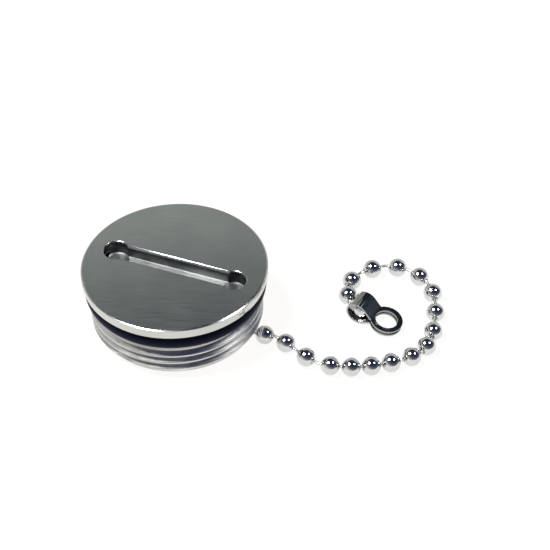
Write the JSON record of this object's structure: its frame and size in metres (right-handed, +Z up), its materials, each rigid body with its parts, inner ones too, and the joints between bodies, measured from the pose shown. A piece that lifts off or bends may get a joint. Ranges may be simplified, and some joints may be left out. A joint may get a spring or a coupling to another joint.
{
  "type": "deck fill cap",
  "caption": "Screw-in metal deck fill cap with a key slot on top, an O-ring under the flange, a threaded skirt and a bead-chain tether that ends in an eyelet coupling.",
  "frame": {"origin": "middle of the rectangle of ground the whole thing covers, on the table it stands on", "axes": "+Z up from the table, +X along the long way of the whole thing, from the cap towards the loose end of the chain"},
  "size_m": [0.0914, 0.0464, 0.0193],
  "materials": {
    "cap_body": "fine brushed and satin",
    "o_ring": "smooth satin",
    "chain": "polished",
    "coupling": "polished",
    "anchor_screw": "turned"
  },
  "bodies": {
    "cap": {"cap_body": "cap_body", "o_ring": "o_ring", "anchor_washer": "anchor_screw", "anchor_screw": "anchor_screw"},
    "anchor_coupling": {"anchor_coupling": "coupling"},
    "bead_01": {"bead_01": "chain"},
    "link_01": {"link_01": "chain"},
    "bead_02": {"bead_02": "chain"},
    "link_02": {"link_02": "chain"},
    "bead_03": {"bead_03": "chain"},
    "link_03": {"link_03": "chain"},
    "bead_04": {"bead_04": "chain"},
    "link_04": {"link_04": "chain"},
    "bead_05": {"bead_05": "chain"},
    "link_05": {"link_05": "chain"},
    "bead_06": {"bead_06": "chain"},
    "link_06": {"link_06": "chain"},
    "bead_07": {"bead_07": "chain"},
    "link_07": {"link_07": "chain"},
    "bead_08": {"bead_08": "chain"},
    "link_08": {"link_08": "chain"},
    "bead_09": {"bead_09": "chain"},
    "link_09": {"link_09": "chain"},
    "bead_10": {"bead_10": "chain"},
    "link_10": {"link_10": "chain"},
    "bead_11": {"bead_11": "chain"},
    "link_11": {"link_11": "chain"},
    "bead_12": {"bead_12": "chain"},
    "link_12": {"link_12": "chain"},
    "bead_13": {"bead_13": "chain"},
    "link_13": {"link_13": "chain"},
    "bead_14": {"bead_14": "chain"},
    "link_14": {"link_14": "chain"},
    "bead_15": {"bead_15": "chain"},
    "link_15": {"link_15": "chain"},
    "bead_16": {"bead_16": "chain"},
    "link_16": {"link_16": "chain"},
    "bead_17": {"bead_17": "chain"},
    "link_17": {"link_17": "chain"},
    "bead_18": {"bead_18": "chain"},
    "link_18": {"link_18": "chain"},
    "bead_19": {"bead_19": "chain"},
    "link_19": {"link_19": "chain"},
    "bead_20": {"bead_20": "chain"},
    "link_20": {"link_20": "chain"},
    "bead_21": {"bead_21": "chain"},
    "end_coupling": {"end_coupling": "coupling"}
  },
  "joints": [
    {"name": "anchor_swivel", "type": "hinge", "parent": "cap", "child": "anchor_coupling", "pos_m": [-0.02198, -0.00018, 0.00699], "axis": [-0.0564, 0.0183, 0.9982], "continuous": true},
    {"name": "bead_01_turn", "type": "hinge", "parent": "anchor_coupling", "child": "bead_01", "pos_m": [-0.01568, -0.00223, 0.00601], "axis": [0, 0, 1], "range_deg": [-14, 14]},
    {"name": "link_01_swing", "type": "hinge", "parent": "bead_01", "child": "link_01", "pos_m": [-0.01359, -0.0029, 0.00533], "axis": [0, 0, 1], "range_deg": [-9, 9]},
    {"name": "bead_02_tilt", "type": "hinge", "parent": "link_01", "child": "bead_02", "pos_m": [-0.01235, -0.00331, 0.00488], "axis": [0.309, 0.9511, 0], "range_deg": [0, 6]},
    {"name": "link_02_swing", "type": "hinge", "parent": "bead_02", "child": "link_02", "pos_m": [-0.00832, -0.00462, 0.00312], "axis": [0, 0, -1], "range_deg": [-9, 9]},
    {"name": "bead_03_tilt", "type": "hinge", "parent": "link_02", "child": "bead_03", "pos_m": [-0.00797, -0.00473, 0.00299], "axis": [0.309, 0.9511, 0], "range_deg": [0, 6]},
    {"name": "link_03_swing", "type": "hinge", "parent": "bead_03", "child": "link_03", "pos_m": [-0.00376, -0.0061, 0.00181], "axis": [0, 0, -1], "range_deg": [-9, 9]},
    {"name": "bead_04_tilt", "type": "hinge", "parent": "link_03", "child": "bead_04", "pos_m": [-0.00156, -0.00669, 0.00181], "axis": [0.2604, 0.9655, 0], "range_deg": [-4, 8]},
    {"name": "link_04_swing", "type": "hinge", "parent": "bead_04", "child": "link_04", "pos_m": [0.00257, -0.00828, 0.00299], "axis": [0, 0, 1], "range_deg": [-3, 0]},
    {"name": "bead_05_tilt", "type": "hinge", "parent": "link_04", "child": "bead_05", "pos_m": [0.00396, -0.00876, 0.00279], "axis": [0.3259, 0.9454, 0], "range_deg": [-16, 12]},
    {"name": "link_05_swing", "type": "hinge", "parent": "bead_05", "child": "link_05", "pos_m": [0.00775, -0.0112, 0.00201], "axis": [0, 0, 1], "range_deg": [0, 30]},
    {"name": "bead_06_tilt", "type": "hinge", "parent": "link_05", "child": "bead_06", "pos_m": [0.00928, -0.01292, 0.00223], "axis": [-0.7453, -0.6667, 0], "range_deg": [-17, 20]},
    {"name": "link_06_swing", "type": "hinge", "parent": "bead_06", "child": "link_06", "pos_m": [0.01269, -0.01596, 0.00257], "axis": [0, 0, -1], "range_deg": [0, 42]},
    {"name": "bead_07_tilt", "type": "hinge", "parent": "link_06", "child": "bead_07", "pos_m": [0.01469, -0.01672, 0.00244], "axis": [-0.3544, -0.9351, 0], "range_deg": [-16, 11]},
    {"name": "link_07_swing", "type": "hinge", "parent": "bead_07", "child": "link_07", "pos_m": [0.01924, -0.01724, 0.00236], "axis": [0, 0, -1], "range_deg": [-5, 14]},
    {"name": "bead_08_tilt", "type": "hinge", "parent": "link_07", "child": "bead_08", "pos_m": [0.01988, -0.01726, 0.00237], "axis": [0.0332, 0.9994, 0], "range_deg": [-9, 8]},
    {"name": "link_08_swing", "type": "hinge", "parent": "bead_08", "child": "link_08", "pos_m": [0.02445, -0.01706, 0.00243], "axis": [0, 0, 1], "range_deg": [-15, 4]},
    {"name": "bead_09_tilt", "type": "hinge", "parent": "link_08", "child": "bead_09", "pos_m": [0.02489, -0.017, 0.00242], "axis": [-0.1444, 0.9895, 0], "range_deg": [-8, 8]},
    {"name": "link_09_swing", "type": "hinge", "parent": "bead_09", "child": "link_09", "pos_m": [0.02934, -0.01593, 0.00238], "axis": [0, 0, 1], "range_deg": [-12, 7]},
    {"name": "bead_10_tilt", "type": "hinge", "parent": "link_09", "child": "bead_10", "pos_m": [0.02985, -0.01579, 0.00238], "axis": [0.2727, -0.9621, 0], "range_deg": [-9, 9]},
    {"name": "link_10_swing", "type": "hinge", "parent": "bead_10", "child": "link_10", "pos_m": [0.03419, -0.01433, 0.00242], "axis": [0, 0, -1], "range_deg": [-14, 25]},
    {"name": "bead_11_tilt", "type": "hinge", "parent": "link_10", "child": "bead_11", "pos_m": [0.03524, -0.01386, 0.00241], "axis": [0.412, -0.9112, 0], "range_deg": [-18, 18]},
    {"name": "link_11_swing", "type": "hinge", "parent": "bead_11", "child": "link_11", "pos_m": [0.03913, -0.01144, 0.00239], "axis": [0, 0, -1], "range_deg": [-6, 33]},
    {"name": "bead_12_tilt", "type": "hinge", "parent": "link_11", "child": "bead_12", "pos_m": [0.0398, -0.01076, 0.0024], "axis": [-0.7136, 0.7006, 0], "range_deg": [-13, 13]},
    {"name": "link_12_swing", "type": "hinge", "parent": "bead_12", "child": "link_12", "pos_m": [0.04207, -0.00677, 0.0024], "axis": [0, 0, 1], "range_deg": [-31, 8]},
    {"name": "bead_13_tilt", "type": "hinge", "parent": "link_12", "child": "bead_13", "pos_m": [0.04238, -0.00583, 0.0024], "axis": [-0.9501, 0.3119, 0], "range_deg": [-17, 17]},
    {"name": "link_13_swing", "type": "hinge", "parent": "bead_13", "child": "link_13", "pos_m": [0.04307, -0.0013, 0.0024], "axis": [0, 0, 1], "range_deg": [-23, 16]},
    {"name": "bead_14_tilt", "type": "hinge", "parent": "link_13", "child": "bead_14", "pos_m": [0.04328, 0.00081, 0.0024], "axis": [0.9955, -0.0952, 0], "range_deg": [-19, 19]},
    {"name": "link_14_swing", "type": "hinge", "parent": "bead_14", "child": "link_14", "pos_m": [0.04358, 0.00538, 0.0024], "axis": [0, 0, -1], "range_deg": [-11, 22]},
    {"name": "bead_15_tilt", "type": "hinge", "parent": "link_14", "child": "bead_15", "pos_m": [0.04349, 0.00786, 0.0024], "axis": [0.9994, 0.0344, 0], "range_deg": [-12, 12]},
    {"name": "link_15_swing", "type": "hinge", "parent": "bead_15", "child": "link_15", "pos_m": [0.04238, 0.0123, 0.0024], "axis": [0, 0, -1], "range_deg": [-3, 36]},
    {"name": "bead_16_tilt", "type": "hinge", "parent": "link_15", "child": "bead_16", "pos_m": [0.04127, 0.01419, 0.00239], "axis": [-0.8615, -0.5078, 0], "range_deg": [-12, 13]},
    {"name": "link_16_swing", "type": "hinge", "parent": "bead_16", "child": "link_16", "pos_m": [0.038, 0.0174, 0.00241], "axis": [0, 0, 1], "range_deg": [-35, 4]},
    {"name": "bead_17_tilt", "type": "hinge", "parent": "link_16", "child": "bead_17", "pos_m": [0.03624, 0.01838, 0.00242], "axis": [-0.4825, -0.8759, 0], "range_deg": [-9, 7]},
    {"name": "link_17_swing", "type": "hinge", "parent": "bead_17", "child": "link_17", "pos_m": [0.03174, 0.01923, 0.00238], "axis": [0, 0, 1], "range_deg": [-39, 0]},
    {"name": "bead_18_tilt", "type": "hinge", "parent": "link_17", "child": "bead_18", "pos_m": [0.02951, 0.01889, 0.00237], "axis": [-0.149, 0.9888, 0], "range_deg": [-10, 8]},
    {"name": "link_18_swing", "type": "hinge", "parent": "bead_18", "child": "link_18", "pos_m": [0.0254, 0.01688, 0.00243], "axis": [0, 0, -1], "range_deg": [0, 30]},
    {"name": "bead_19_tilt", "type": "hinge", "parent": "link_18", "child": "bead_19", "pos_m": [0.02346, 0.01518, 0.00247], "axis": [-0.6582, 0.7528, 0], "range_deg": [-2, 7]},
    {"name": "link_19_swing", "type": "hinge", "parent": "bead_19", "child": "link_19", "pos_m": [0.02088, 0.0114, 0.00233], "axis": [0, 0, -1], "range_deg": [0, 44]},
    {"name": "bead_20_tilt", "type": "hinge", "parent": "link_19", "child": "bead_20", "pos_m": [0.0206, 0.01008, 0.00231], "axis": [0.9786, -0.206, 0], "range_deg": [0, 6]},
    {"name": "link_20_swing", "type": "hinge", "parent": "bead_20", "child": "link_20", "pos_m": [0.02183, 0.00567, 0.00249], "axis": [0, 0, 1], "range_deg": [-46, 0]},
    {"name": "bead_21_tilt", "type": "hinge", "parent": "link_20", "child": "bead_21", "pos_m": [0.023, 0.0042, 0.00273], "axis": [0.7807, 0.6249, 0], "range_deg": [-13, 17]},
    {"name": "end_coupling_turn", "type": "hinge", "parent": "bead_21", "child": "end_coupling", "pos_m": [0.02477, 0.0028, 0.0031], "axis": [0, 0, 1], "range_deg": [-32, 0]}
  ]
}
